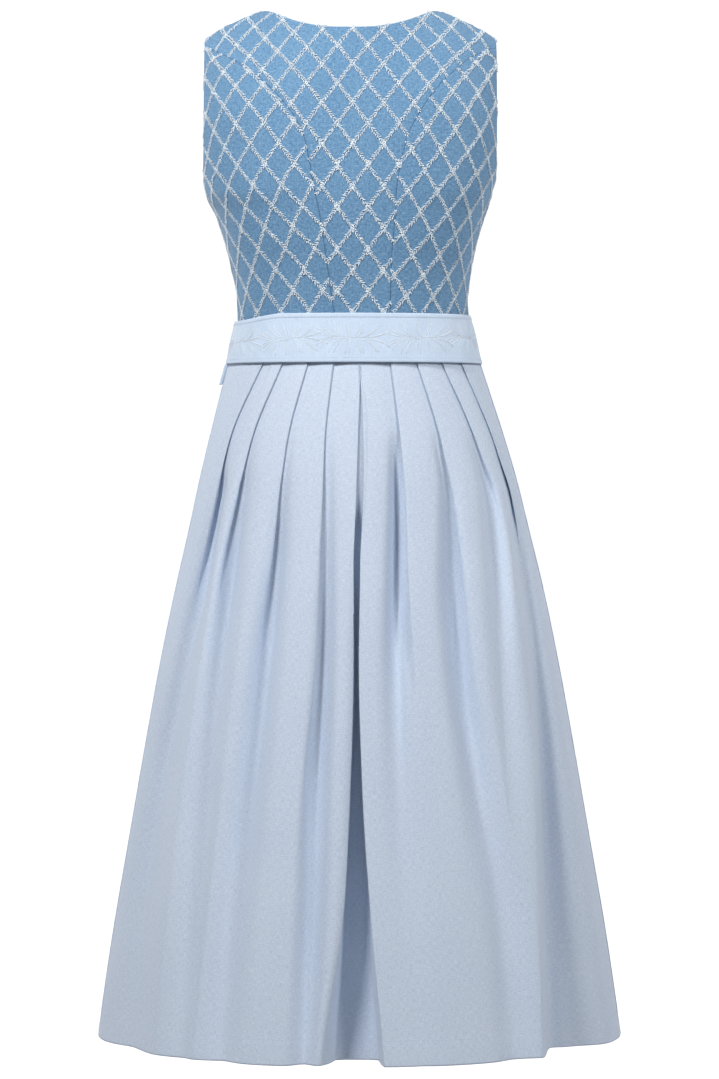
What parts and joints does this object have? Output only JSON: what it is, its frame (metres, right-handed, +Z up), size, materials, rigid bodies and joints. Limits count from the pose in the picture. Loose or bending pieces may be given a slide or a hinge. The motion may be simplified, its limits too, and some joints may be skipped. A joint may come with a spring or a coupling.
{
  "type": "sleeveless dirndl with apron",
  "caption": "Sleeveless dirndl filled out as worn: princess-seamed bodice, knife-pleated midi skirt, gathered apron with a wide waistband and a bow at the side front.",
  "frame": {"origin": "midway between the two shoulder straps, at the height of their inner faces, where the wearer's shoulders carry the dress", "axes": "+Z up, -Y towards the wearer's back, +Y towards the front, +X towards the wearer's right"},
  "size_m": [0.587, 0.4699, 1.1472],
  "materials": {
    "bodice_fabric": "mid blue fine weave with raised whitish slub lines in a diamond trellis",
    "skirt_fabric": "pale blue linen-look plain weave, matt",
    "apron_fabric": "pale blue with a tone on tone leaf figure, slight sheen"
  },
  "bodies": {
    "root": {"bodice_back_centre": "bodice_fabric", "bodice_side_back_left": "bodice_fabric", "bodice_side_back_right": "bodice_fabric", "bodice_side_front_left": "bodice_fabric", "bodice_side_front_right": "bodice_fabric", "bodice_front_left": "bodice_fabric", "bodice_front_right": "bodice_fabric", "skirt_back": "skirt_fabric", "skirt_front": "skirt_fabric", "apron_tie_back": "apron_fabric", "apron_band_front": "apron_fabric", "apron_skirt": "apron_fabric", "apron_knot": "apron_fabric", "apron_loop_side": "apron_fabric", "apron_loop_front": "apron_fabric", "apron_tail_side": "apron_fabric", "apron_tail_front": "apron_fabric"}
  },
  "joints": []
}
